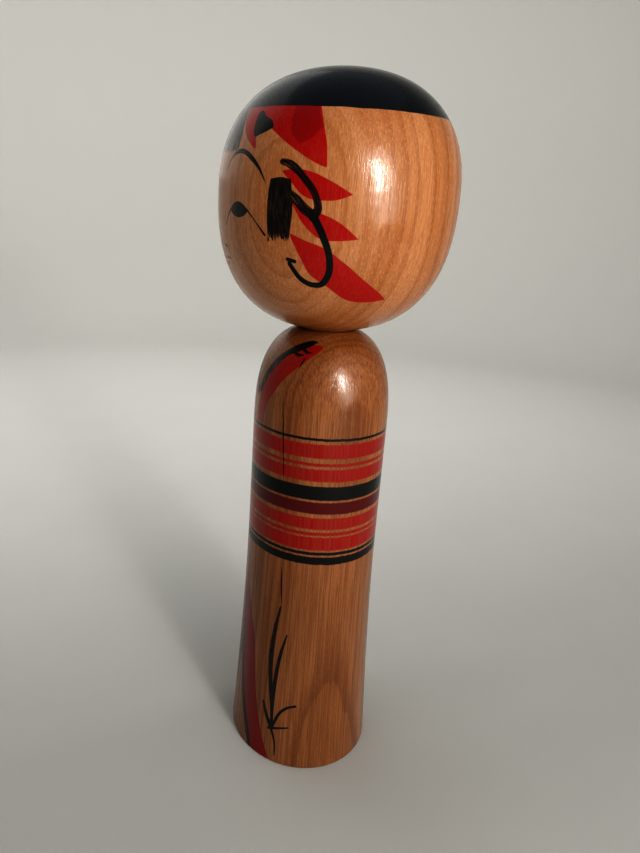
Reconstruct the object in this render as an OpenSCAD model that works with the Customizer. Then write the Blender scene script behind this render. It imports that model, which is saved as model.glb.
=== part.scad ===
// Kokeshi doll: a turned body and a turned head that meet at the neck, with a
// dowel between them. The doll stands on Z = 0, faces -Y, and its axis is Z.

/* [Body] */
// Height of the body, from the table to the neck seam
body_height = 159.5; // [130:0.5:220]
// Radius of the foot, above its eased edge
foot_radius = 26.2; // [24.5:0.1:32]
// Radius of the straight part of the body
waist_radius = 23.4; // [20:0.1:24]
// Height at which the flare of the foot has died away
flare_height = 78; // [50:1:90]
// How quickly the flare dies away, where 1 is a straight cone
flare_power = 1.5; // [1:0.1:3]
// Drop from the neck seam to where the shoulder starts to round over
shoulder_drop = 34; // [26:1:38]
// Radius of the neck seam
neck_radius = 10.4; // [10:0.1:14]
// Squareness of the shoulder, where 2 is an ellipse
shoulder_power = 2.8; // [2:0.1:3.5]

/* [Foot] */
// Width of the eased edge round the foot
foot_edge = 0.8; // [0.3:0.1:2]
// Radius of the shallow turned hollow under the foot
hollow_radius = 15; // [8:0.5:18]
// Depth of the turned hollow at its rim
hollow_depth = 0.8; // [0.3:0.1:3]
// Radius of the hole that the lathe's centre leaves in the hollow
centre_hole_radius = 1.5; // [0.5:0.1:3]
// Depth of the centre hole above the hollow
centre_hole_depth = 4; // [1:0.5:10]

/* [Head] */
// Height of the head, from the neck seam to the crown
head_height = 80.5; // [70:0.5:95]
// Largest radius of the head
head_radius = 38.4; // [34:0.1:46]
// Height of the widest part of the head above the neck seam
cheek_height = 43.3; // [38:0.1:48]
// Squareness of the head above its widest part, where 2 is an ellipse
crown_power = 2.35; // [2:0.05:3]
// Squareness of the head below its widest part, where 2 is an ellipse
chin_power = 2.45; // [2:0.05:3]
// Radius of the flat under the head that rests on the neck
seat_radius = 9.6; // [9:0.1:10]

/* [Neck peg] */
// Radius of the dowel between the body and the head
peg_radius = 6.5; // [4:0.1:7.5]
// Length of the dowel inside the body
peg_in_body = 22; // [12:1:40]
// Length of the dowel inside the head
peg_in_head = 26; // [12:1:40]
// Chamfer on both ends of the dowel
peg_chamfer = 1; // [0.5:0.1:2]
// Gap between the dowel and the wall of each socket
peg_clearance = 0.05; // [0.02:0.01:0.1]
// Air left between the top of the dowel and the head's socket
peg_air = 1; // [0.5:0.1:3]

/* [Quality] */
// Straight steps along each half of the head and along each curve of the body
curve_steps = 26; // [12:1:40]
// Segments round each turned piece
round_steps = 128; // [48:4:180]

/* [Hidden] */
// Radius and depth by which every socket's mouth is eased
mouth_edge = 0.6;
// How far a cut runs past the face that it opens
overcut = 1;

shoulder_start = body_height - shoulder_drop;
socket_radius = peg_radius + peg_clearance;

// Height of the full shoulder curve, which the neck seam cuts short
shoulder_reach = shoulder_drop
    / pow(1 - pow(neck_radius / waist_radius, shoulder_power), 1 / shoulder_power);

wood = [0.72, 0.43, 0.23];
peg_wood = [0.85, 0.68, 0.45];

// Radius of the body over the foot's flare, which dies into the waist
function flare(z) =
    waist_radius + (foot_radius - waist_radius) * pow(1 - z / flare_height, flare_power);

// Radius of the body over the shoulder
function shoulder(z) =
    waist_radius
    * pow(1 - pow((z - shoulder_start) / shoulder_reach, shoulder_power), 1 / shoulder_power);

// Point on one half of the head. The angle runs from 0 at the widest part to
// 90 on the axis, and reach is the height of that half, negative below.
function head_point(angle, reach, power) = [
    head_radius * pow(cos(angle), 2 / power),
    body_height + cheek_height + reach * pow(sin(angle), 2 / power)
];

// Angle at which the lower half of the head has narrowed to the seat
seat_angle = acos(pow(seat_radius / head_radius, chin_power / 2));

body_outline = concat(
    [[0, 0], [foot_radius - foot_edge, 0]],
    [for (i = [0 : curve_steps])
        let (z = foot_edge + (flare_height - foot_edge) * i / curve_steps)
        [flare(z), z]],
    [for (i = [0 : curve_steps])
        let (z = shoulder_start + shoulder_drop * sin(90 * i / curve_steps))
        [shoulder(z), z]],
    [[0, body_height]]
);

head_outline = concat(
    [[0, body_height], [seat_radius, body_height]],
    [for (i = [1 : curve_steps])
        head_point(seat_angle * (1 - i / curve_steps), -cheek_height, chin_power)],
    [for (i = [1 : curve_steps - 1])
        head_point(90 * i / curve_steps, head_height - cheek_height, crown_power)],
    [[0, body_height + head_height]]
);

peg_outline = [
    [0, body_height - peg_in_body],
    [peg_radius - peg_chamfer, body_height - peg_in_body],
    [peg_radius, body_height - peg_in_body + peg_chamfer],
    [peg_radius, body_height + peg_in_head - peg_chamfer],
    [peg_radius - peg_chamfer, body_height + peg_in_head],
    [0, body_height + peg_in_head]
];

module turned(outline) {
    rotate_extrude($fn = round_steps) polygon(outline);
}

// Straight round hole from one height up to another
module bore(radius, from, to) {
    translate([0, 0, from]) cylinder(h = to - from, r = radius, $fn = round_steps);
}

// Cone that eases the mouth of a socket at the neck seam: way is -1 for a
// socket that goes down from the seam and 1 for one that goes up
module socket_mouth(way) {
    narrow = socket_radius;
    wide = socket_radius + mouth_edge;
    rotate_extrude($fn = round_steps)
        polygon([
            [0, body_height + way * mouth_edge],
            [narrow, body_height + way * mouth_edge],
            [wide, body_height],
            [wide, body_height - way * overcut],
            [0, body_height - way * overcut]
        ]);
}

// Solid turned body, with the dowel's socket in the neck
module body() {
    color(wood)
        difference() {
            turned(body_outline);
            bore(socket_radius, body_height - peg_in_body, body_height + overcut);
            socket_mouth(-1);
            bore(hollow_radius, -overcut, hollow_depth);
            bore(centre_hole_radius, 0, hollow_depth + centre_hole_depth);
        }
}

// Solid turned head, with the dowel's socket in its underside
module head() {
    color(wood)
        difference() {
            turned(head_outline);
            bore(socket_radius, body_height - overcut, body_height + peg_in_head + peg_air);
            socket_mouth(1);
        }
}

// Dowel that stands on the floor of the body's socket and carries the head
module neck_peg() {
    color(peg_wood) turned(peg_outline);
}

body();
head();
neck_peg();
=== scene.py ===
"""Looks of the kokeshi doll: two turned blocks of cherry wood on a hidden dowel, painted with a
brush and on the lathe, and waxed. The doll stands on Z = 0 and faces -Y.

Places on the doll are given as (turn, height): turn is in degrees round the axis, 0 at the middle
of the face and 90 at the doll's left, and height is in millimetres above the table."""
import math

import bpy
import numpy as np
from mathutils import Matrix, Vector


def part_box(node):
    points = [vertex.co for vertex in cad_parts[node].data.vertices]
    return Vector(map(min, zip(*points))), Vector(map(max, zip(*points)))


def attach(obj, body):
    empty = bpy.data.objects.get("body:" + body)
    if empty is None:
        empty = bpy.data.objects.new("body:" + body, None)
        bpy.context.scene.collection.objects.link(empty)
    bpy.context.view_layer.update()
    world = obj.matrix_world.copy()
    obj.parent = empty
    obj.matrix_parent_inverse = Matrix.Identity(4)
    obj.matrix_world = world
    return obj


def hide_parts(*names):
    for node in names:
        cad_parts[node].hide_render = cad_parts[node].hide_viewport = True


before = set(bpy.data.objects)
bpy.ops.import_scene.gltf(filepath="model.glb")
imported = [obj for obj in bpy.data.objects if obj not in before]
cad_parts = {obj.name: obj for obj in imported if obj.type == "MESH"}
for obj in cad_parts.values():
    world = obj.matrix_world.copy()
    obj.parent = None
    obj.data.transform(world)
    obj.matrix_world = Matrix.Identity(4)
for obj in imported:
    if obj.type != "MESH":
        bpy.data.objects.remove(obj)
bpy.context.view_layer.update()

MM = 0.001

# Sizes of the turned blocks that the outer outline doesn't show, in mm, as in the CAD model
SOCKET_GAP = 0.05
SOCKET_AIR = 1.0
MOUTH_EDGE = 0.6
HOLLOW_RADIUS = 15.0
HOLLOW_DEPTH = 0.8
CENTRE_HOLE_RADIUS = 1.5
CENTRE_HOLE_DEPTH = 4.0

HOLLOW_EDGE = 0.3  # bevel in the hollow's corner, in mm, which the CAD model leaves square
BORE_MARGIN = 0.1  # a point this many mm outside the widest hole is on the outer surface
WAIST_HEIGHT = 125.0  # mm up the body, where it is straight and narrowest

# Painted cap of hair: the height of its edge at the front, how much lower it is at the left, and how
# far out the left is
CAP_EDGE = 226.25
CAP_LEAN = 2.2
CAP_EDGE_RADIUS = 33.0

# Stripes painted on the lathe, as (lower height, upper height) in mm
BLACK_STRIPES = ((82.2, 85.0), (85.75, 86.8), (105.8, 110.65), (126.4, 127.25))
RED_STRIPES = (
    (87.55, 92.35), (92.95, 94.2), (95.2, 99.4), (112.35, 116.65), (117.65, 118.75), (120.4, 125.25),
)
MAROON_STRIPES = ((100.85, 105.0),)

# Drying crack down the doll's left side: (turn, height) points on its path, the (lower height,
# upper height) of each split along it, and the widest and deepest that a split gets
CRACK_PATH = ((33.0, 145.0), (37.7, 131.5), (41.4, 110.4), (44.4, 81.0), (47.4, 62.0))
CRACK_SPLITS = ((105.0, 145.0), (62.0, 80.5))
CRACK_HALF_WIDTH = 0.33
CRACK_DEPTH = 0.7

# How the turned surfaces are divided, in mm up the outline and, round the axis, in stretches of
# (first turn, last turn, step) in degrees: finest at the crack and the paint, coarse at the back.
# The crack's strip has that half-width, and the columns within its pull bend to follow the crack.
BODY_SPACING = 0.5
HEAD_SPACING = 1.1
HEAD_PAINTED_SPACING = 0.4
HEAD_PAINTED_HEIGHTS = (171, 229)
CRACK_MIDDLE = 40.0
CRACK_STRIP = 1.5
CRACK_PULL = 28.0
BODY_TURNS = (
    (-180, -72, 3.0),
    (-72, CRACK_MIDDLE - CRACK_STRIP, 0.8),
    (CRACK_MIDDLE - CRACK_STRIP, CRACK_MIDDLE + CRACK_STRIP, 0.12),
    (CRACK_MIDDLE + CRACK_STRIP, 72, 0.8),
    (72, 180, 3.0),
)
HEAD_TURNS = (
    (-180, -103, 3.0), (-103, -46, 0.68), (-46, 46, 0.46), (46, 103, 0.68), (103, 180, 3.0),
)

CRISP_ANGLE = 40.0  # edges that turn by more degrees than this stay crisp
PAINTS = ("red", "red_again", "ink")  # what is brushed on: red, a second coat of red, and black ink
FAR = 6.0  # paint further away than this many mm doesn't need measuring


# ---------------------------------------------------------------- outlines


def smooth_through(points, per_span=12):
    """A smooth curve through points, which are rows of numbers, with per_span steps between them."""
    points = np.asarray(points, float)
    if len(points) < 3:
        steps = np.linspace(0, 1, per_span + 1)[:, None]
        return points[0] * (1 - steps) + points[-1] * steps
    knots = distances_along(points)
    spans = [np.linspace(a, b, per_span, endpoint=False) for a, b in zip(knots, knots[1:])]
    return follow(knots, points, np.concatenate([*spans, knots[-1:]]))


def distances_along(points):
    """How far along the straight run through points each point is."""
    return np.concatenate([[0], np.cumsum(np.linalg.norm(np.diff(points, axis=0), axis=1))])


def follow(knots, points, at):
    """Points on the smooth curve that passes through points at knots, at the places at."""
    slopes = np.gradient(points, knots, axis=0)
    span = np.clip(np.searchsorted(knots, at, side="right") - 1, 0, len(knots) - 2)
    width = (knots[span + 1] - knots[span])[:, None]
    t = (at[:, None] - knots[span][:, None]) / width
    start = points[span] * (1 + 2 * t) * (1 - t) ** 2 + slopes[span] * width * t * (1 - t) ** 2
    end = points[span + 1] * t**2 * (3 - 2 * t) + slopes[span + 1] * width * t**2 * (t - 1)
    return start + end


def outer_outline(node, bore):
    """(radius, height) of a turned CAD node's outer surface in mm, upwards. Bore is the radius of
    the widest hole in it."""
    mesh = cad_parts[node].data
    corners = np.empty(len(mesh.vertices) * 3)
    mesh.vertices.foreach_get("co", corners)
    corners = corners.reshape(-1, 3) / MM
    radii = np.hypot(corners[:, 0], corners[:, 1])
    heights = corners[:, 2].round(2)
    outer = radii > bore
    levels = np.unique(heights[outer])
    outline = [(radii[outer & (heights == level)].max(), level) for level in levels]
    top = heights.max()
    if top > levels[-1]:
        outline.append((0.0, top))
    return np.array(outline)


def respaced(outline, spacing):
    """The smooth curve through outline, with points as far apart as spacing says for each height."""
    knots = distances_along(outline)
    at = [0.0]
    while at[-1] < knots[-1]:
        height = np.interp(at[-1], knots, outline[:, 1])
        at.append(at[-1] + spacing(height))
    at = np.array(at) * knots[-1] / at[-1]
    return follow(knots, outline, at)


# ---------------------------------------------------------------- turned meshes


def spread_turns(stretches):
    """Turns round the axis, from (first, last, step) stretches in degrees that join up."""
    turns = []
    for first, last, step in stretches:
        count = max(1, round((last - first) / step))
        turns.append(np.linspace(first, last, count, endpoint=False))
    return np.concatenate(turns)


def turned_mesh(name, rings, turns):
    """A closed turned surface in mm. Rings are (radius, height) from the bottom of the outline to
    its top, with both ends on the axis, and turns has a row of degrees for each ring between them."""
    angles = np.radians(turns - 90)
    radii = rings[1:-1, 0][:, None]
    heights = np.broadcast_to(rings[1:-1, 1][:, None], angles.shape)
    wall = np.stack([radii * np.cos(angles), radii * np.sin(angles), heights], axis=-1)
    rows, columns = angles.shape
    points = np.concatenate([[(0, 0, rings[0, 1])], wall.reshape(-1, 3), [(0, 0, rings[-1, 1])]])
    index = 1 + np.arange(rows * columns).reshape(rows, columns)
    beside = np.roll(index, -1, axis=1)
    quads = np.stack([index[:-1], beside[:-1], beside[1:], index[1:]], axis=-1).reshape(-1, 4)
    last = len(points) - 1
    floor = [(0, b, a) for a, b in zip(index[0], beside[0])]
    roof = [(last, a, b) for a, b in zip(index[-1], beside[-1])]
    mesh = bpy.data.meshes.new(name)
    mesh.from_pydata(points * MM, [], quads.tolist() + floor + roof)
    mesh.shade_smooth()
    mesh.set_sharp_from_angle(angle=math.radians(CRISP_ANGLE))
    piece = bpy.data.objects.new(name, mesh)
    bpy.context.collection.objects.link(piece)
    return piece, points


def store(piece, name, values):
    """Keeps one number, or three, for each corner point of a piece under that name."""
    kind = "FLOAT" if values.ndim == 1 else "FLOAT_VECTOR"
    field = "value" if values.ndim == 1 else "vector"
    attribute = piece.data.attributes.new(name, kind, "POINT")
    attribute.data.foreach_set(field, np.ascontiguousarray(values, dtype=np.float32).ravel())


# ---------------------------------------------------------------- brush work


class Brush:
    """Measures how far each point of one turned piece is from the paint put on it, in mm.

    For each colour it keeps the distance to the nearest painted edge, negative inside the paint,
    and how the point lies in that paint: mm across the stroke, mm along it, and the brush's dryness.
    A patch has mm round the doll and mm up it instead."""

    def __init__(self, points, outline):
        self.points = points
        self.outline = outline
        self.turns = np.degrees(np.arctan2(points[:, 0], -points[:, 1]))
        self.edge = {colour: np.full(len(points), FAR) for colour in PAINTS}
        self.lie = {colour: np.zeros((len(points), 3)) for colour in PAINTS}

    def on_surface(self, path):
        """The (turn, height) rows of path as points in mm on the turned surface."""
        radii = np.interp(path[:, 1], self.outline[:, 1], self.outline[:, 0])
        angles = np.radians(path[:, 0] - 90)
        return np.stack([radii * np.cos(angles), radii * np.sin(angles), path[:, 1]], axis=-1)

    def near(self, path):
        """Which points are close enough to path, a run of points in mm, to need measuring."""
        low = path.min(axis=0) - FAR
        high = path.max(axis=0) + FAR
        return np.flatnonzero(((self.points > low) & (self.points < high)).all(axis=1))

    def measure(self, path, chosen):
        """Distance from the chosen points to path, the place along it, and which side they are on."""
        best = np.full(len(chosen), np.inf)
        place = np.zeros(len(chosen))
        side = np.ones(len(chosen))
        at = self.points[chosen]
        outward = at * (1, 1, 0)
        for i, (start, end) in enumerate(zip(path, path[1:])):
            along = end - start
            share = np.clip((at - start) @ along / max(along @ along, 1e-9), 0, 1)
            gap = at - (start + share[:, None] * along)
            distance = np.linalg.norm(gap, axis=1)
            closer = distance < best
            best[closer] = distance[closer]
            place[closer] = i + share[closer]
            across = np.einsum("ij,ij->i", np.cross(along, gap), outward)
            side[closer] = np.sign(across[closer])
        return best, place, side

    def lay(self, colour, chosen, edge, lie):
        """Adds paint: keeps the new values wherever this paint's edge is nearer than the last."""
        nearer = edge < self.edge[colour][chosen]
        self.edge[colour][chosen[nearer]] = edge[nearer]
        self.lie[colour][chosen[nearer]] = lie[nearer]

    def stroke(self, colour, path, widths, dry=(0.0, 0.0)):
        """One brush stroke through (turn, height) points, with its width in mm at each of them and
        how dry the brush is at its start and end."""
        spans = 10
        line = self.on_surface(smooth_through(path, spans))
        chosen = self.near(line)
        distance, place, side = self.measure(line, chosen)
        share = place / (len(line) - 1)
        half = np.interp(place / spans, range(len(widths)), np.array(widths) / 2)
        length = np.linalg.norm(np.diff(line, axis=0), axis=1).sum()
        dryness = dry[0] + (dry[1] - dry[0]) * share**2
        lie = np.stack([side * distance, share * length, dryness], axis=-1)
        self.lay(colour, chosen, distance - half, lie)

    def patch(self, colour, edges, dry_below=0.0, dry_reach=3.0, dry_all=0.0):
        """A filled shape. Edges are runs of (turn, height) points that meet at its corners. The
        brush is as dry as dry_all says, and below the height dry_below it runs out over dry_reach mm."""
        outline = np.concatenate([smooth_through(edge, 8)[:-1] for edge in edges])
        outline = np.concatenate([outline, outline[:1]])
        line = self.on_surface(outline)
        chosen = self.near(line)
        distance, _, _ = self.measure(line, chosen)
        turn = self.turns[chosen]
        height = self.points[chosen, 2]
        sign = np.where(inside(outline, turn, height), -1, 1)
        reach = np.hypot(self.points[chosen, 0], self.points[chosen, 1])
        dryness = np.clip((dry_below - height) / dry_reach, dry_all, 1)
        lie = np.stack([np.radians(turn) * reach, height, dryness], axis=-1)
        self.lay(colour, chosen, sign * distance, lie)


def inside(outline, x, y):
    """Whether each (x, y) is inside the closed outline."""
    odd = np.zeros(len(x), bool)
    for (x0, y0), (x1, y1) in zip(outline, outline[1:]):
        if y0 == y1:
            continue
        crossing = (y0 > y) != (y1 > y)
        odd ^= crossing & (x < x0 + (y - y0) * (x1 - x0) / (y1 - y0))
    return odd


def mirrored(path, sway=0.0):
    """The same run of points on the doll's right side, sway degrees further round."""
    return [(-turn - sway, height) for turn, height in path]


# ---------------------------------------------------------------- motifs on the head
# Each motif is given for the doll's left. Sides has one function for each side of the doll, which
# takes a run of points there.


def paint_ribbon(brush, sides):
    """The red ribbon under the cap: a loop, a tail beside the fringe, and a black knot."""
    loop = [
        [(13, 228.5), (57, 226.8)],
        [(57, 226.8), (60, 220.7), (62.7, 214.1), (63.5, 208.3)],
        [(63.5, 208.3), (58, 209.8), (48, 213.6), (37.6, 218.1), (33, 220)],
        [(33, 220), (24, 222), (13, 228.5)],
    ]
    tail = [
        [(13, 228.5), (14.5, 223.5), (18.6, 219), (24, 215.6), (29.6, 213.2)],
        [(29.6, 213.2), (28.2, 216.6), (27, 219.5), (26, 228)],
        [(26, 228), (13, 228.5)],
    ]
    second_coat = [
        [(46, 226), (46.4, 218), (51, 214.4)],
        [(51, 214.4), (55.4, 215.6), (60.2, 218.8)],
        [(60.2, 218.8), (58.4, 222.4), (56, 226.6), (46, 226)],
    ]
    knot = [
        [(24.2, 223.2), (25.2, 223.9), (31, 222.2), (36.2, 220.2), (36.9, 219.2), (35, 218.4),
         (30, 217.3), (27.5, 216.8), (26.3, 217.3), (24.9, 220.2), (24.2, 223.2)],
    ]
    for side in sides:
        brush.patch("red", [side(edge) for edge in loop])
        brush.patch("red", [side(edge) for edge in tail])
        brush.patch("red_again", [side(edge) for edge in second_coat])
        brush.patch("ink", [side(edge) for edge in knot])


def paint_leaves(brush, sides):
    """Three red leaves that fan out behind the side hair."""
    leaves = [
        [
            [(44.5, 207.4), (49, 207.9), (56.3, 207.5), (65.1, 205.2), (74.6, 201.8)],
            [(74.6, 201.8), (68.8, 200.3), (62.6, 200), (54.5, 201.1), (49, 204.6), (44.5, 207.4)],
        ],
        [
            [(49.6, 199.2), (56, 197.9), (63, 196.5), (69.5, 194.6), (78.7, 190.2)],
            [(78.7, 190.2), (71.3, 189.6), (62.1, 190), (55.6, 193.3), (49.6, 199.2)],
        ],
        [
            [(48.8, 191.2), (56, 189.3), (64.5, 187.4), (72.6, 184.1), (83.5, 179.2), (99.7, 173.2)],
            [(99.7, 173.2), (89.6, 172.3), (76.9, 173), (65.3, 177.2), (58.1, 180.1), (53.8, 184.8),
             (48.8, 191.2)],
        ],
    ]
    for side in sides:
        for leaf in leaves:
            brush.patch("red", [side(edge) for edge in leaf])


def paint_side_hair(brush, sides):
    """The block of side hair and the curl behind it, three strokes of black ink."""
    block = [
        [(39.4, 205.4), (44, 205.8), (49, 205.3)],
        [(49, 205.3), (50.2, 198.4), (49.1, 189.6)],
        [(49.1, 189.6), (44, 189.3), (38.6, 188.9)],
        [(38.6, 188.9), (38.3, 198.2), (39.4, 205.4)],
    ]
    upper_curl = [(44.6, 209.9), (48.6, 209), (54.9, 205.4), (59.8, 201), (61, 197.6), (59.2, 195.4)]
    inner_curl = [(48.6, 201.9), (52, 199.9), (55, 197.9), (59.6, 195.8)]
    lower_curl = [(59.2, 196), (63.9, 190.3), (66.8, 185.3), (67.3, 181), (64.7, 177.6), (60, 176.9),
                  (53.5, 178.7), (48.8, 182.6)]
    hook = [(48.0, 183.8), (51.4, 183.3)]
    for side in sides:
        brush.patch("ink", [side(edge) for edge in block], dry_below=191.2, dry_reach=1.8, dry_all=0.12)
        brush.stroke("ink", side(upper_curl), [1.7, 2.2, 2.0, 1.9, 2.1, 2.2], dry=(0.35, 0.0))
        brush.stroke("ink", side(inner_curl), [1.8, 2.5, 2.7, 2.6], dry=(0.35, 0.0))
        brush.stroke("ink", side(lower_curl), [2.2, 2.0, 1.9, 1.9, 1.8, 1.7, 1.5, 1.2])
        brush.stroke("ink", side(hook), [1.1, 1.1])


def paint_eyes(brush, sides):
    """A long lid line, a pupil that hangs from it, and a brow, on each side."""
    lid = [(8.4, 192.2), (11, 194.8), (13.8, 196.7), (17.2, 198.4), (21, 198.8), (26.3, 197), (32, 193.6),
           (37, 190.1)]
    pupil = [
        [(13.7, 196.9), (21, 199), (27.3, 196.6)],
        [(27.3, 196.6), (25.2, 195.4), (21, 194.7), (16.8, 195.3), (13.7, 196.9)],
    ]
    brow = [(7.4, 207.4), (11.6, 210.9), (15.5, 212.7), (20, 213.2), (28.4, 210.8), (33, 208.1),
            (37.3, 204)]
    for side in sides:
        brush.stroke("ink", side(lid), [0.25, 0.35, 0.5, 0.65, 0.7, 0.6, 0.45, 0.65])
        brush.patch("ink", [side(edge) for edge in pupil])
        brush.stroke("ink", side(brow), [0.25, 0.5, 1.1, 1.35, 1.3, 0.8, 0.25])


def paint_nose_and_mouth(brush, sides):
    """Two short nostril strokes, and a small mouth with red lips and dark corners."""
    nostril = [(3.2, 186.2), (5.4, 185.8)]
    upper_lip = [
        [(-6.2, 182.4), (-3.2, 182.9), (0, 182.5), (3.2, 182.9), (6.2, 182.4)],
        [(6.2, 182.4), (3.2, 181.9), (0, 181.7), (-3.2, 181.9), (-6.2, 182.4)],
    ]
    lower_lip = [
        [(-3.8, 181), (0, 181.1), (3.8, 181)],
        [(3.8, 181), (2.2, 180.1), (0, 179.8), (-2.2, 180.1), (-3.8, 181)],
    ]
    corner = [(5.8, 182.4), (7.4, 182.1)]
    brush.patch("red", upper_lip)
    brush.patch("red", lower_lip)
    for side in sides:
        brush.stroke("ink", side(nostril), [0.8, 0.95])
        brush.stroke("ink", side(corner), [0.7, 0.45])


def paint_fringe(brush):
    """The straight block of hair over the forehead, brushed down until the brush ran dry."""
    block = [
        [(-12, 230), (12, 230)],
        [(12, 230), (13.4, 224.5), (15.6, 221), (17.1, 217), (16.6, 213.2)],
        [(16.6, 213.2), (0, 213.6), (-16.6, 213.2)],
        [(-16.6, 213.2), (-17.1, 217), (-15.6, 221), (-13.4, 224.5), (-12, 230)],
    ]
    brush.patch("ink", block, dry_below=217.2, dry_reach=3.5, dry_all=0.1)


def paint_head(brush):
    """Everything brushed on the head. The doll's right side is the same design by the same hand."""
    both = (list, lambda path: mirrored(path, sway=0.6))
    paint_ribbon(brush, both)
    paint_leaves(brush, both)
    paint_side_hair(brush, both)
    paint_eyes(brush, (list, mirrored))
    paint_nose_and_mouth(brush, (list, mirrored))
    paint_fringe(brush)


# ---------------------------------------------------------------- motifs on the body


def paint_collar(brush, sides):
    """The robe's collar: black above red, brushed from each shoulder down to the front. The brush
    left a few dark marks where the two colours met, and one drip."""
    black = [
        [(60.5, 157), (52, 157.1), (44, 156.5), (35.5, 155.4), (27, 153.6), (17.5, 150.4), (8, 145),
         (-2.5, 136.6)],
        [(-2.5, 136.6), (5, 138), (12.8, 143.2), (23.3, 149.3), (30, 151.8), (39.5, 153.4), (49, 155),
         (60.5, 157)],
    ]
    red = [
        [(66.8, 155.6), (60, 156.1), (49, 155.4), (39, 154), (29, 151.6), (18, 147), (8, 140.5), (4.4, 134),
         (3.4, 127.6)],
        [(3.4, 127.6), (13.4, 127.6)],
        [(13.4, 127.6), (17.9, 134.3), (23.5, 138.6), (30.3, 142.8), (36.5, 145.9), (49, 150.4),
         (57, 152.8), (65, 154.9), (66.8, 155.6)],
    ]
    marks = [
        ([(36, 153.2), (42, 152.6), (47, 152.9)], [0.8, 1.3, 0.5]),
        ([(46, 154.3), (50, 153.7), (55, 153.8)], [1.0, 1.2, 0.3]),
        ([(49, 151.8), (47.4, 150.2), (45.6, 148.8)], [0.6, 0.5, 0.2]),
    ]
    for side in sides:
        brush.patch("red", [side(edge) for edge in red], dry_below=148, dry_reach=30, dry_all=0.15)
        brush.patch("ink", [side(edge) for edge in black], dry_below=154, dry_reach=20, dry_all=0.1)
        for path, widths in marks:
            brush.stroke("ink", side(path), widths, dry=(0.3, 0.6))


def paint_hem(brush, sides):
    """The robe's red hem, which falls open from the middle to the foot, edged with black."""
    band = [
        [(-1.5, 78), (1.5, 72), (5.8, 64.4), (14, 54.5), (20.5, 47.3), (28.9, 24.5), (37, 11), (47, 0)],
        [(47, 0), (26.8, 0)],
        [(26.8, 0), (19, 10), (11.7, 19), (6.5, 28), (3, 38.3), (0.8, 50), (-1, 62), (-1.5, 78)],
    ]
    edging = [(-0.8, 62), (0.8, 50), (3, 38.3), (6.5, 28), (11.7, 19), (19, 10), (26.8, 0.3)]
    for side in sides:
        brush.patch("red", [side(edge) for edge in band])
        brush.patch("red_again", [side(edge) for edge in band])
        brush.stroke("ink", side(edging), [0.9, 1.8, 2.5, 2.7, 2.7, 2.5, 2.0], dry=(0.6, 0.25))


def paint_grass(brush, sides):
    """A tuft of autumn grass in black ink: two tall blades, three short ones and the root."""
    blades = [
        ([(46.7, 63.6), (43.2, 53.7), (41.6, 45), (42.4, 34.5), (45.8, 23), (47.3, 15)],
         [0.6, 1.6, 1.9, 1.7, 1.3, 1.1]),
        ([(54.2, 53.4), (49.6, 44.2), (47.3, 35.4), (46.7, 26), (47, 18)], [0.5, 1.3, 1.5, 1.1, 0.8]),
        ([(37.6, 23.4), (40.7, 19.5), (46.6, 14.2)], [1.0, 1.4, 1.5]),
        ([(66, 25.8), (59.5, 24.5), (53.5, 21.6), (48, 15.6)], [0.9, 1.0, 1.0, 1.2]),
        ([(61.5, 16.4), (54, 15.2), (44.5, 13.6)], [0.5, 0.8, 1.0]),
        ([(46.6, 14), (50.6, 9), (51.6, 3)], [1.2, 0.7, 0.35]),
    ]
    for side in sides:
        for path, widths in blades:
            brush.stroke("ink", side(path), widths, dry=(0.25, 0.0))


def paint_body(brush):
    """Everything brushed on the body."""
    both = (list, lambda path: mirrored(path, sway=-1.2))
    paint_collar(brush, both)
    paint_hem(brush, both)
    paint_grass(brush, both)


# ---------------------------------------------------------------- the two turned pieces


def crack_turn(heights):
    """Where round the body the crack runs, in degrees, at each height: its path, with a fine waver."""
    turns, levels = np.array(CRACK_PATH[::-1]).T
    waver = 0.10 * np.sin(heights * 0.5) + 0.05 * np.sin(heights * 1.7)
    return np.interp(heights, levels, turns) + waver


def crack_opening(heights):
    """How open the crack is at each height, from 0 to 1: widest in the middle of each split."""
    opening = np.zeros(len(heights))
    for low, high in CRACK_SPLITS:
        share = np.clip((heights - low) / (high - low), 0, 1)
        opening = np.maximum(opening, np.sin(math.pi * share))
    return opening


def dowel_socket():
    """The radius of the dowel's sockets, and the heights of the dowel's bottom and top, in mm."""
    low, high = (np.array(corner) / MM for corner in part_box("neck_peg"))
    return high[0] + SOCKET_GAP, low[2], high[2]


def turned_foot():
    """(radius, height) points of the hole and the shallow hollow under the foot, outwards."""
    return [
        (0, HOLLOW_DEPTH + CENTRE_HOLE_DEPTH),
        (CENTRE_HOLE_RADIUS, HOLLOW_DEPTH + CENTRE_HOLE_DEPTH),
        (CENTRE_HOLE_RADIUS, HOLLOW_DEPTH),
        (HOLLOW_RADIUS - HOLLOW_EDGE, HOLLOW_DEPTH),
        (HOLLOW_RADIUS, HOLLOW_DEPTH - HOLLOW_EDGE),
        (HOLLOW_RADIUS, 0),
    ]


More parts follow.
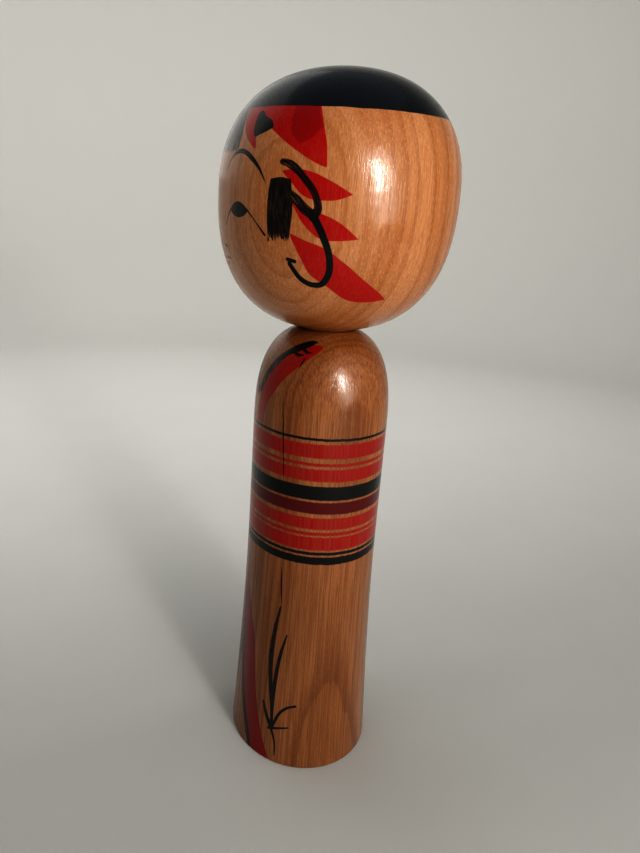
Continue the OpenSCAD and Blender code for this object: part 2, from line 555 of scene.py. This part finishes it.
def make_body():
    """The turned body, with the dowel's socket, the turned foot and the drying crack."""
    socket, socket_floor, _ = dowel_socket()
    outline = outer_outline("body", bore=socket + MOUTH_EDGE + BORE_MARGIN)
    seam = outline[-1, 1]
    foot = turned_foot()
    eased = smooth_through([outline[0], (outline[1, 0] - 0.15, 0.25), outline[1]], 3)[:-1]
    wall = respaced(outline[1:], lambda height: BODY_SPACING)
    neck = [
        (socket + MOUTH_EDGE, seam), (socket, seam - MOUTH_EDGE), (socket, socket_floor), (0, socket_floor),
    ]
    rings = np.concatenate([foot, eased, wall, neck])
    even = spread_turns(BODY_TURNS)
    pull = np.clip(1 - np.abs(even - CRACK_MIDDLE) / CRACK_PULL, 0, 1)
    pull = pull**2 * (3 - 2 * pull)
    turns = even + (crack_turn(rings[1:-1, 1]) - CRACK_MIDDLE)[:, None] * pull
    piece, points = turned_mesh("turned_body", rings, turns)
    outer = len(foot) + len(eased) + np.arange(len(wall))
    open_crack(piece, points, outer, even - CRACK_MIDDLE, rings)
    waist = np.interp(WAIST_HEIGHT, outline[:, 1], outline[:, 0])
    store(piece, "girth", np.maximum(np.hypot(points[:, 0], points[:, 1]) / waist, 1.0))
    brush = Brush(points, outline)
    paint_body(brush)
    return piece, brush


def open_crack(piece, points, outer, beside, rings):
    """Presses the crack's V into the outer wall's rings, and stores how deep each point is in it.
    Beside has each column's degrees from the crack's middle."""
    depth = np.zeros(len(points))
    columns = len(beside)
    opening = crack_opening(rings[outer, 1])
    for ring, openness in zip(outer, opening):
        half = max(CRACK_HALF_WIDTH * openness, 1e-6)
        across = np.abs(np.radians(beside)) * rings[ring, 0]
        row = 1 + (ring - 1) * columns + np.arange(columns)
        depth[row] = np.clip(1 - across / half, 0, 1) * openness
    sunk = points - points * (1, 1, 0) * (depth * CRACK_DEPTH / rings[:, 0].max())[:, None]
    piece.data.vertices.foreach_set("co", (sunk * MM).ravel())
    store(piece, "crack", depth)


def make_head():
    """The turned head, with the dowel's socket in its underside."""
    socket, _, dowel_top = dowel_socket()
    outline = outer_outline("head", bore=socket + MOUTH_EDGE + BORE_MARGIN)
    seam = outline[0, 1]
    roof = dowel_top + SOCKET_AIR
    low, high = HEAD_PAINTED_HEIGHTS

    def spacing(height):
        return HEAD_PAINTED_SPACING if low < height < high else HEAD_SPACING

    wall = respaced(outline, spacing)
    underside = [(0, roof), (socket, roof), (socket, seam + MOUTH_EDGE), (socket + MOUTH_EDGE, seam)]
    rings = np.concatenate([underside, wall])
    even = spread_turns(HEAD_TURNS)
    turns = np.broadcast_to(even, (len(rings) - 2, len(even)))
    piece, points = turned_mesh("turned_head", rings, turns)
    brush = Brush(points, outline)
    paint_head(brush)
    return piece, brush


# ---------------------------------------------------------------- node helpers


class Graph:
    """Short ways to add the nodes of one material."""

    def __init__(self, name):
        self.material = bpy.data.materials.new(name)
        self.material.use_nodes = True
        self.nodes = self.material.node_tree.nodes
        self.links = self.material.node_tree.links
        self.nodes.clear()

    def add(self, kind, inputs=(), **settings):
        """A node of that kind with its settings, and its inputs by name or number."""
        node = self.nodes.new("ShaderNode" + kind)
        for key, value in settings.items():
            setattr(node, key, value)
        for key, value in dict(inputs).items():
            self.feed(node.inputs[key], value)
        return node

    def feed(self, socket, value):
        """Links value to a socket if it is another node's output, or sets it."""
        if isinstance(value, bpy.types.NodeSocket):
            self.links.new(value, socket)
        else:
            socket.default_value = value

    def math(self, operation, a, b=0.0):
        """The result of a Math node."""
        return self.add("Math", {0: a, 1: b}, operation=operation).outputs[0]

    def vector(self, operation, a, b=(0.0, 0.0, 0.0)):
        """The result of a Vector Math node, which is a number for LENGTH."""
        node = self.add("VectorMath", {0: a, 1: b}, operation=operation)
        return node.outputs["Value" if operation == "LENGTH" else "Vector"]

    def ramp(self, value, low, high, to_low=0.0, to_high=1.0):
        """A smooth step from to_low to to_high as value goes from low to high."""
        span = {"Value": value, "From Min": low, "From Max": high, "To Min": to_low, "To Max": to_high}
        return self.add("MapRange", span, interpolation_type="SMOOTHSTEP").outputs["Result"]

    def mix(self, factor, a, b, blend="MIX"):
        """Colour a turning into colour b as factor goes from 0 to 1."""
        node = self.add("Mix", data_type="RGBA", blend_type=blend)
        colours = [socket for socket in node.inputs if socket.type == "RGBA"]
        self.feed(node.inputs["Factor"], factor)
        self.feed(colours[0], a)
        self.feed(colours[1], b)
        return next(socket for socket in node.outputs if socket.type == "RGBA")

    def noise(self, vector, scale, detail=2.0, roughness=0.5):
        """Soft noise from 0 to 1, around 0.5."""
        inputs = {"Vector": vector, "Scale": scale, "Detail": detail, "Roughness": roughness}
        return self.add("TexNoise", inputs).outputs["Fac"]

    def run(self, distance, scale):
        """Noise from 0 to 1 that changes only with one distance."""
        inputs = {"W": distance, "Scale": scale, "Detail": 2.0}
        return self.add("TexNoise", inputs, noise_dimensions="1D").outputs["Fac"]

    def stretched(self, vector, scale):
        """Vector with each part scaled by its own number."""
        return self.vector("MULTIPLY", vector, scale)

    def stored(self, name, output="Fac"):
        """What was stored for each point of the piece under that name."""
        return self.add("Attribute", attribute_name=name).outputs[output]

    def parts(self, vector):
        """The X, Y and Z of a vector."""
        return self.add("SeparateXYZ", {0: vector}).outputs

    def finish(self, shader, bump):
        """Ends the material in its shader, with bump, a height in mm, as its fine relief."""
        relief = self.add("Bump", {"Height": bump, "Distance": MM, "Strength": 1.0})
        self.links.new(relief.outputs[0], shader.inputs["Normal"])
        self.links.new(relief.outputs[0], shader.inputs["Coat Normal"])
        output = self.add("OutputMaterial")
        self.links.new(shader.outputs[0], output.inputs["Surface"])
        return self.material


def rgb(red, green, blue):
    """A linear colour."""
    return (red, green, blue, 1.0)


# ---------------------------------------------------------------- materials

WOOD_FLECK = rgb(0.64, 0.36, 0.19)
WOOD_LIGHT = rgb(0.52, 0.245, 0.112)
WOOD_MIDDLE = rgb(0.42, 0.168, 0.054)
WOOD_DARK = rgb(0.23, 0.072, 0.018)
BODY_LIGHT = rgb(0.35, 0.152, 0.061)
BODY_MIDDLE = rgb(0.28, 0.108, 0.035)
BODY_DARK = rgb(0.12, 0.032, 0.007)
# Painted shade: a darker tint multiplied into the lower body's wood, fading out upwards
LOWER_SHADE_TINT = rgb(0.83, 0.83, 0.79)
FULL_SHADE_BELOW = 60.0  # mm up the body, below which the wood has all of the painted shade
NO_SHADE_ABOVE = 100.0  # mm up the body, above which it has none
PAINT_BLACK = rgb(0.002, 0.002, 0.0025)
CAP_BLACK = rgb(0.006, 0.007, 0.009)
PAINT_RED = rgb(0.37, 0.001, 0.001)
PAINT_RED_AGAIN = rgb(0.27, 0.001, 0.001)
STRIPE_RED = rgb(0.29, 0.001, 0.001)
PAINT_HEM = rgb(0.15, 0.001, 0.001)
PAINT_MAROON = rgb(0.095, 0.001, 0.002)
DOWEL_LIGHT = rgb(0.66, 0.44, 0.22)
DOWEL_DARK = rgb(0.48, 0.27, 0.11)
# painted shade for the inside of the drying crack's groove
CRACK_PAINTED_SHADE = rgb(0.08, 0.018, 0.008)
GRAIN_DEPTH = 0.012  # mm that the fibres, and again the pores, sink below the surface


class Wood:
    """Turned wood whose growth rings are shells round a pith line beside the piece. Taper says how
    fast the shells close in along the grain, and wandering how many mm they stray. Ringed, fibrous
    and flecked say how strongly the rings, the dark fibres and the pale flecks show. Shades are the
    wood's light, middle and dark colours.

    The fibres follow the flare of a piece that has girth stored, its radius over its narrowest.
    It offers the wood's colour, the strength of its fibres, and its relief in mm."""

    def __init__(self, graph, shades, pith, taper, ring_width, wandering, ringed, fibrous, flecked):
        scaled = graph.add("VectorMath", {0: graph.add("TexCoord").outputs["Object"]}, operation="SCALE")
        scaled.inputs["Scale"].default_value = 1 / MM
        self.graph = graph
        self.place = scaled.outputs[0]
        self.shells = self.shells_round(pith, taper, wandering)
        self.lay_fibres()
        self.colour = self.stained(shades, ring_width, ringed, fibrous, flecked)
        grooves = graph.math("MULTIPLY", self.fibres, -GRAIN_DEPTH)
        pits = graph.math("MULTIPLY", self.pores, -GRAIN_DEPTH)
        self.relief = graph.math("ADD", grooves, pits)

    def shells_round(self, pith, taper, wandering):
        """How far each point is from the pith line in mm, strayed by slow noise and a fine ripple."""
        graph = self.graph
        wander = graph.noise(graph.stretched(self.place, (1, 1, 0.25)), 0.03, 2)
        ripple = graph.noise(graph.stretched(self.place, (1, 1, 0.10)), 0.35, 2)
        from_pith = graph.vector("SUBTRACT", self.place, pith)
        shells = graph.vector("LENGTH", graph.stretched(from_pith, (1, 1, taper)))
        shells = graph.math("ADD", shells, graph.math("MULTIPLY", wander, wandering))
        return graph.math("ADD", shells, graph.math("MULTIPLY", ripple, 0.7))

    def year_rings(self, ring_width):
        """1 on each year's late wood, fainter in some years than in others."""
        graph = self.graph
        years = graph.math("DIVIDE", self.shells, ring_width)
        season = graph.math("FRACT", years)
        strength = graph.ramp(graph.run(graph.math("FLOOR", years), 0.9), 0.3, 0.7, 0.1, 1.0)
        late = graph.math("MULTIPLY", graph.ramp(season, 0.3, 0.94), graph.ramp(season, 1.0, 0.94))
        return graph.math("MULTIPLY", late, strength)

    def lay_fibres(self):
        """Finds how strongly the fibres and the dark pores show at each point, from 0 to 1."""
        graph = self.graph
        girth = graph.math("MAXIMUM", graph.stored("girth"), 1.0)
        straight = graph.add("CombineXYZ", {0: girth, 1: girth, 2: 1.0}).outputs[0]
        along = graph.vector("DIVIDE", self.place, straight)
        long_fibres = graph.noise(graph.stretched(along, (1, 1, 0.012)), 1.5, 2, 0.6)
        fine_fibres = graph.noise(graph.stretched(along, (1, 1, 0.015)), 3.4, 1, 0.5)
        long_share = graph.math("MULTIPLY", long_fibres, 0.6)
        fine_share = graph.math("MULTIPLY", fine_fibres, 0.4)
        self.fibres = graph.ramp(graph.math("ADD", long_share, fine_share), 0.43, 0.57)
        pores = graph.noise(graph.stretched(along, (1, 1, 0.03)), 2.2, 1, 0.5)
        self.pores = graph.ramp(pores, 0.38, 0.28)

    def stained(self, shades, ring_width, ringed, fibrous, flecked):
        """The wood's colour, from its broad bands down to its flecks and pores."""
        graph = self.graph
        light, middle, dark = shades
        bands = graph.ramp(graph.run(self.shells, 0.13), 0.38, 0.6)
        clouds = graph.noise(graph.stretched(self.place, (1, 1, 0.2)), 0.06, 3)
        flecks = graph.noise(graph.stretched(self.place, (1, 1, 0.25)), 2.7, 1, 0.5)
        rings = self.year_rings(ring_width)
        colour = graph.mix(bands, light, middle)
        colour = graph.mix(graph.ramp(clouds, 0.3, 0.7, 0.0, 0.4), colour, light)
        colour = graph.mix(graph.math("MULTIPLY", rings, ringed), colour, dark)
        colour = graph.mix(graph.math("MULTIPLY", self.fibres, 0.5 * fibrous), colour, dark)
        colour = graph.mix(graph.ramp(flecks, 0.55, 0.67, 0.0, flecked), colour, WOOD_FLECK)
        return graph.mix(graph.math("MULTIPLY", self.pores, 0.6 * fibrous), colour, dark)


def brushed(graph, colour, soft=0.07, ragged=0.9):
    """How much brushed paint of that colour covers a point: the stored distance to its edge, broken
    up into bristle marks where the brush was dry."""
    across, along, dryness = graph.parts(graph.stored(colour + "_lie", "Vector"))[0:3]
    along = graph.math("MULTIPLY", along, 0.1)
    bristles = graph.add("CombineXYZ", {0: across, 1: along, 2: 0.0}).outputs[0]
    streaks = graph.noise(bristles, 2.2, 2, 0.6)
    wobble = graph.math("SUBTRACT", graph.noise(bristles, 0.9, 2), 0.5)
    starved = graph.ramp(dryness, 0.3, 1.0)
    bite = graph.math("MULTIPLY", graph.math("SUBTRACT", streaks, 0.47), starved)
    edge = graph.math("ADD", graph.stored(colour + "_edge"), graph.math("MULTIPLY", wobble, 0.2))
    edge = graph.math("ADD", edge, graph.math("MULTIPLY", bite, ragged * 7))
    cover = graph.ramp(edge, soft, -soft)
    worn = graph.math("MULTIPLY", graph.ramp(streaks, 0.44, 0.68, 0.0, 0.95), dryness)
    return graph.math("MULTIPLY", cover, graph.math("SUBTRACT", 1.0, worn))


def stripes(graph, place, levels, soft):
    """1 on the painted stripes between each pair of levels, with edges that bleed along the grain."""
    height = graph.parts(place)[2]
    bleed = graph.noise(graph.stretched(place, (1, 1, 0.10)), 1.9, 2, 0.6)
    drift = graph.noise(graph.stretched(place, (1, 1, 0.3)), 0.12, 2)
    for stray, reach in ((bleed, 1.5 * soft), (drift, 0.5)):
        shift = graph.math("MULTIPLY", graph.math("SUBTRACT", stray, 0.5), reach)
        height = graph.math("ADD", height, shift)
    total = None
    for low, high in levels:
        rise = graph.ramp(height, low - soft / 2, low + soft / 2)
        fall = graph.ramp(height, high + soft / 2, high - soft / 2)
        stripe = graph.math("MULTIPLY", rise, fall)
        total = stripe if total is None else graph.math("MAXIMUM", total, stripe)
    return total


def through_grain(graph, wood, cover, share):
    """Paint cover that is thinner along the wood's fibres, by up to that share."""
    kept = graph.math("SUBTRACT", 1.0, graph.math("MULTIPLY", wood.fibres, share))
    return graph.math("MULTIPLY", cover, kept)


def unworn(graph, place):
    """1 where the paint is whole, falling to 0 where the foot's edge has rubbed bare."""
    rubbed = graph.math("MULTIPLY", graph.noise(place, 0.5, 3), 2.5)
    return graph.ramp(graph.math("SUBTRACT", graph.parts(place)[2], rubbed), -1.0, -0.2)


def handled(graph, wood, least):
    """Roughness that is least where hands have polished the wax, and more in smudges and fibres."""
    smudges = graph.math("MULTIPLY", graph.noise(wood.place, 0.09, 4), 0.14)
    fibres = graph.math("MULTIPLY", wood.fibres, 0.08)
    return graph.math("ADD", graph.math("ADD", smudges, fibres), least)


def waxed(graph, colour, roughness, bump):
    """The shader of waxed wood: a satin base under a thin clear coat."""
    shader = graph.add("BsdfPrincipled", {"Base Color": colour, "Roughness": roughness})
    shader.inputs["IOR"].default_value = 1.5
    shader.inputs["Specular IOR Level"].default_value = 0.18
    shader.inputs["Coat Weight"].default_value = 0.8
    shader.inputs["Coat Roughness"].default_value = 0.15
    shader.inputs["Coat IOR"].default_value = 1.5
    return graph.finish(shader, bump)


def cap_cover(graph, wood):
    """1 on the painted cap of hair, whose edge dips a little to the doll's left."""
    x, _, z = graph.parts(wood.place)[0:3]
    level = graph.math("ADD", z, graph.math("MULTIPLY", x, CAP_LEAN / CAP_EDGE_RADIUS))
    wobble = graph.math("MULTIPLY", graph.noise(wood.place, 0.15, 2), 0.4)
    return graph.ramp(graph.math("ADD", level, wobble), CAP_EDGE + 0.1, CAP_EDGE + 0.35)


def painted_head_material():
    """Cherry wood with the ribbon, leaves, face and side hair, and the glossy black cap."""
    graph = Graph("painted_head_wood")
    shades = (WOOD_LIGHT, WOOD_MIDDLE, WOOD_DARK)
    wood = Wood(graph, shades, pith=(23.0, -24.0, 198.0), taper=0.65, ring_width=2.9, wandering=11.0,
                ringed=0.42, fibrous=0.5, flecked=0.30)
    red = through_grain(graph, wood, brushed(graph, "red", 0.09, 0.3), 0.08)
    red_again = graph.math("MULTIPLY", brushed(graph, "red_again", 0.35, 0.2), red)
    cap = cap_cover(graph, wood)
    colour = graph.mix(red, wood.colour, PAINT_RED)
    colour = graph.mix(red_again, colour, PAINT_RED_AGAIN)
    colour = graph.mix(brushed(graph, "ink"), colour, PAINT_BLACK)
    colour = graph.mix(cap, colour, CAP_BLACK)
    filled = graph.math("SUBTRACT", 1.0, graph.math("MULTIPLY", cap, 0.85))
    return waxed(graph, colour, handled(graph, wood, 0.30), graph.math("MULTIPLY", wood.relief, filled))


def painted_body_material():
    """Cherry wood with the lathe's stripes, the robe's collar and hem, and the grass. The lower half
    is darker: painted shade, standing in for the dimmer light low down."""
    graph = Graph("painted_body_wood")
    shades = (BODY_LIGHT, BODY_MIDDLE, BODY_DARK)
    wood = Wood(graph, shades, pith=(-38.0, -7.0, 30.0), taper=0.09, ring_width=1.7, wandering=6.0,
                ringed=0.38, fibrous=0.8, flecked=0.07)
    whole = unworn(graph, wood.place)
    red = through_grain(graph, wood, brushed(graph, "red", 0.12, 0.5), 0.15)
    red = graph.math("MULTIPLY", red, whole)
    red_again = graph.math("MULTIPLY", brushed(graph, "red_again", 0.25, 0.2), 0.7)
    red_again = graph.math("MULTIPLY", red_again, whole)
    ink = graph.math("MULTIPLY", brushed(graph, "ink"), whole)
    red_stripes = through_grain(graph, wood, stripes(graph, wood.place, RED_STRIPES, 0.5), 0.25)
    maroon_stripes = stripes(graph, wood.place, MAROON_STRIPES, 0.35)
    black_stripes = stripes(graph, wood.place, BLACK_STRIPES, 0.3)
    # painted shade: the body's wood gets darker towards the bottom
    lower_shade = graph.ramp(graph.parts(wood.place)[2], NO_SHADE_ABOVE, FULL_SHADE_BELOW)
    colour = graph.mix(lower_shade, wood.colour, LOWER_SHADE_TINT, blend="MULTIPLY")
    colour = graph.mix(red, colour, STRIPE_RED)
    colour = graph.mix(red_again, colour, PAINT_HEM)
    colour = graph.mix(red_stripes, colour, STRIPE_RED)
    colour = graph.mix(maroon_stripes, colour, PAINT_MAROON)
    colour = graph.mix(ink, colour, PAINT_BLACK)
    colour = graph.mix(black_stripes, colour, PAINT_BLACK)
    # painted shade in the crack: darkest where the groove is deepest
    colour = graph.mix(graph.ramp(graph.stored("crack"), 0.0, 0.5), colour, CRACK_PAINTED_SHADE)
    return waxed(graph, colour, handled(graph, wood, 0.34), wood.relief)


def dowel_material():
    """Plain pale dowel wood, never waxed, with straight grain along the peg."""
    graph = Graph("bare_dowel_wood")
    shades = (DOWEL_LIGHT, DOWEL_LIGHT, DOWEL_DARK)
    wood = Wood(graph, shades, pith=(9.0, -14.0, 150.0), taper=0.04, ring_width=1.6, wandering=3.0,
                ringed=0.5, fibrous=0.8, flecked=0.0)
    roughness = graph.math("ADD", graph.math("MULTIPLY", wood.fibres, 0.15), 0.6)
    shader = graph.add("BsdfPrincipled", {"Base Color": wood.colour, "Roughness": roughness})
    return graph.finish(shader, graph.math("MULTIPLY", wood.relief, 1.5))


# ---------------------------------------------------------------- stage, lights and camera

# In metres: how far out the floor starts to curve up, the radius of that curve, and the wall's top
FLOOR_RADIUS = 0.75
WALL_BEND = 0.35
WALL_TOP = 1.7


def make_stage():
    """A pale floor that curves up into a pale wall all round, the same ground for every view."""
    curve = [(0.0, 0.0), (FLOOR_RADIUS, 0.0)]
    curve += [
        (FLOOR_RADIUS + WALL_BEND * math.sin(t), WALL_BEND * (1 - math.cos(t)))
        for t in np.radians(np.arange(10, 91, 10))
    ]
    curve.append((FLOOR_RADIUS + WALL_BEND, WALL_TOP))
    sides = 96
    points = [(0.0, 0.0, 0.0)]
    for radius, height in curve[1:]:
        points += [
            (radius * math.cos(a), radius * math.sin(a), height)
            for a in np.linspace(0, 2 * math.pi, sides, endpoint=False)
        ]
    faces = [(0, 1 + i, 1 + (i + 1) % sides) for i in range(sides)]
    for ring in range(len(curve) - 2):
        low = 1 + ring * sides
        high = low + sides
        faces += [
            (low + i, high + i, high + (i + 1) % sides, low + (i + 1) % sides) for i in range(sides)
        ]
    mesh = bpy.data.meshes.new("pale_floor")
    mesh.from_pydata(points, [], faces)
    mesh.shade_smooth()
    floor = bpy.data.objects.new("pale_floor", mesh)
    bpy.context.collection.objects.link(floor)
    floor.data.materials.append(floor_material())


def floor_material():
    """Matt pale paper with a faint tooth, a little greyer on the floor than on the wall."""
    graph = Graph("pale_paper")
    place = graph.add("TexCoord").outputs["Object"]
    tooth = graph.noise(place, 900.0, 3, 0.6)
    cloud = graph.noise(place, 14.0, 3)
    colour = graph.mix(cloud, rgb(0.49, 0.48, 0.455), rgb(0.53, 0.52, 0.495))
    reach = graph.vector("LENGTH", graph.stretched(place, (1, 1, 0)))
    colour = graph.mix(graph.ramp(reach, 0.2, FLOOR_RADIUS), colour, rgb(0.60, 0.588, 0.555))
    shader = graph.add("BsdfPrincipled", {"Base Color": colour, "Roughness": 0.9})
    return graph.finish(shader, graph.math("MULTIPLY", tooth, 0.05))


def spot(turn, reach, height):
    """A place turn degrees round the doll, reach metres from its axis and height metres up."""
    a = math.radians(turn)
    return Vector((reach * math.sin(a), -reach * math.cos(a), height))


def area_light(name, place, aim, size, power, colour=(1, 1, 1), lean=0.0, spread=145.0):
    """A soft rectangular light of size (width, height) in metres at one spot, aimed at another.
    Lean is how many degrees its top leans to the left, seen from the spot that it is aimed at, and
    spread how many degrees its light fans out over."""
    light = bpy.data.lights.new(name, "AREA")
    light.shape = "RECTANGLE"
    light.size, light.size_y = size
    light.energy = power
    light.spread = math.radians(spread)
    light.color = colour
    lamp = bpy.data.objects.new(name, light)
    bpy.context.collection.objects.link(lamp)
    tilt = Matrix.Rotation(math.radians(lean), 4, "Z")
    facing = (place - aim).to_track_quat("Z", "Y").to_matrix().to_4x4()
    lamp.matrix_world = Matrix.Translation(place) @ facing @ tilt
    lamp.visible_camera = False
    return lamp


def make_lights():
    """A window in a bright room beyond the doll's left, and washes of light on the walls."""
    doll = Vector((0, 0, 0.15))
    daylight = (1.0, 0.985, 0.96)
    area_light("bright_room", spot(114, 0.72, 0.50), doll, (0.95, 0.80), 0.52, daylight)
    area_light("window", spot(107, 0.73, 0.32), doll, (0.26, 0.52), 1.0, daylight, lean=25)
    area_light("window_pane", spot(103, 0.72, 0.34), doll, (0.07, 0.22), 0.85, daylight, lean=20)
    area_light("pale_wall", spot(300, 0.66, 0.60), doll, (0.95, 0.80), 0.50)
    for turn, power in ((272, 3.7), (92, 1.4)):
        start = spot(turn, 0.1, 0.58)
        wash = area_light("wall_wash", start, spot(turn, 1.0, 0.36), (0.9, 0.4), power, spread=180)
        wash.visible_glossy = False
    world = bpy.data.worlds.new("soft_air")
    world.use_nodes = True
    background = world.node_tree.nodes["Background"]
    background.inputs["Color"].default_value = rgb(0.80, 0.90, 1.0)
    background.inputs["Strength"].default_value = 0.23
    bpy.context.scene.world = world


def make_camera():
    """A close viewpoint beside the doll's left cheek. Facing is the camera's heading in degrees,
    tilt how far it looks down and roll how far it leans."""
    facing, tilt, roll = 74.94, 14.58, 2.57
    camera = bpy.data.cameras.new("viewpoint")
    camera.sensor_width = 36.0
    camera.lens = 26.23
    camera.shift_x = 0.083
    camera.shift_y = -0.056
    camera.clip_start = 0.01
    viewer = bpy.data.objects.new("viewpoint", camera)
    bpy.context.collection.objects.link(viewer)
    heading = Matrix.Rotation(math.radians(facing), 4, "Z")
    nod = Matrix.Rotation(math.radians(90 - tilt), 4, "X")
    lean = Matrix.Rotation(math.radians(roll), 4, "Z")
    place = spot(68.0, 0.2126, 0.1949)
    viewer.matrix_world = Matrix.Translation(place) @ heading @ nod @ lean
    bpy.context.scene.camera = viewer


# ---------------------------------------------------------------- the doll


def dress(piece, brush, material, body, node):
    """Gives a turned piece its paint and its wood, and puts it in its CAD node's place."""
    for colour, edge in brush.edge.items():
        store(piece, colour + "_edge", edge)
        store(piece, colour + "_lie", brush.lie[colour])
    piece.data.materials.append(material)
    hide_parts(node)
    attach(piece, body)


make_camera()
make_stage()
make_lights()
dress(*make_body(), painted_body_material(), "body", "body")
dress(*make_head(), painted_head_material(), "head", "head")
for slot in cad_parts["neck_peg"].material_slots:
    slot.material = dowel_material()
bpy.context.scene.view_settings.view_transform = "Standard"
bpy.context.scene.view_settings.look = "Very High Contrast"
